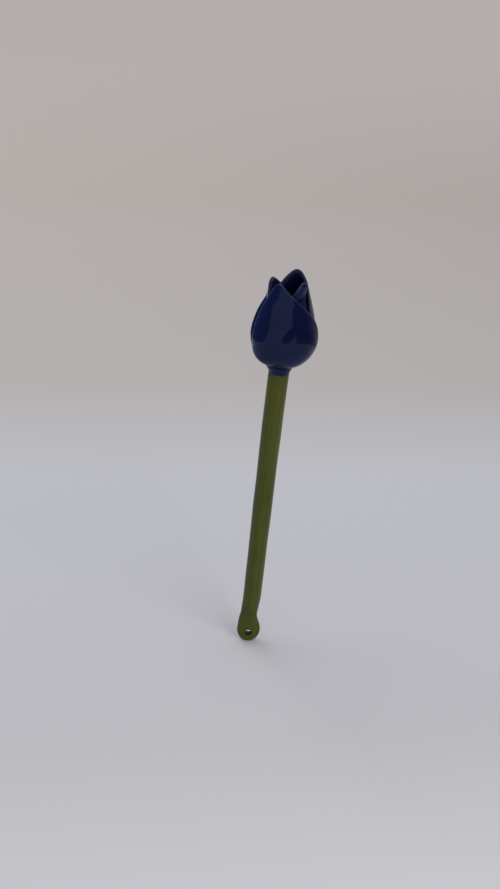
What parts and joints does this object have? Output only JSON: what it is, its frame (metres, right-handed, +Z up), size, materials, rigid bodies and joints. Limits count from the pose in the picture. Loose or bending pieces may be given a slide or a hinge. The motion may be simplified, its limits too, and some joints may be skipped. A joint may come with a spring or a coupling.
{
  "type": "ceramic tulip",
  "caption": "Glazed ceramic tulip ornament: a cupped bloom of overlapping petals on a long round stem with a flattened, pierced foot, to stand in a vase or hang.",
  "frame": {"origin": "foot of the stem, at the lowest point of the flattened tab", "axes": "+Z up along the stem towards the bloom, -Y the front of the bloom and of the tab, +X to the right seen from the front"},
  "size_m": [0.0296, 0.0296, 0.2085],
  "materials": {
    "blue_glaze": "high-gloss dark cobalt glaze, thinner and paler along the petal rims",
    "green_glaze": "glossy olive-green glaze with fine lengthwise streaks"
  },
  "bodies": {
    "root": {"stem": "green_glaze", "neck_collar": "blue_glaze", "receptacle": "blue_glaze", "outer_petal_front": "blue_glaze", "outer_petal_left": "blue_glaze", "outer_petal_back": "blue_glaze", "inner_petal_right": "blue_glaze", "inner_petal_back": "blue_glaze", "inner_petal_left": "blue_glaze"}
  },
  "joints": []
}
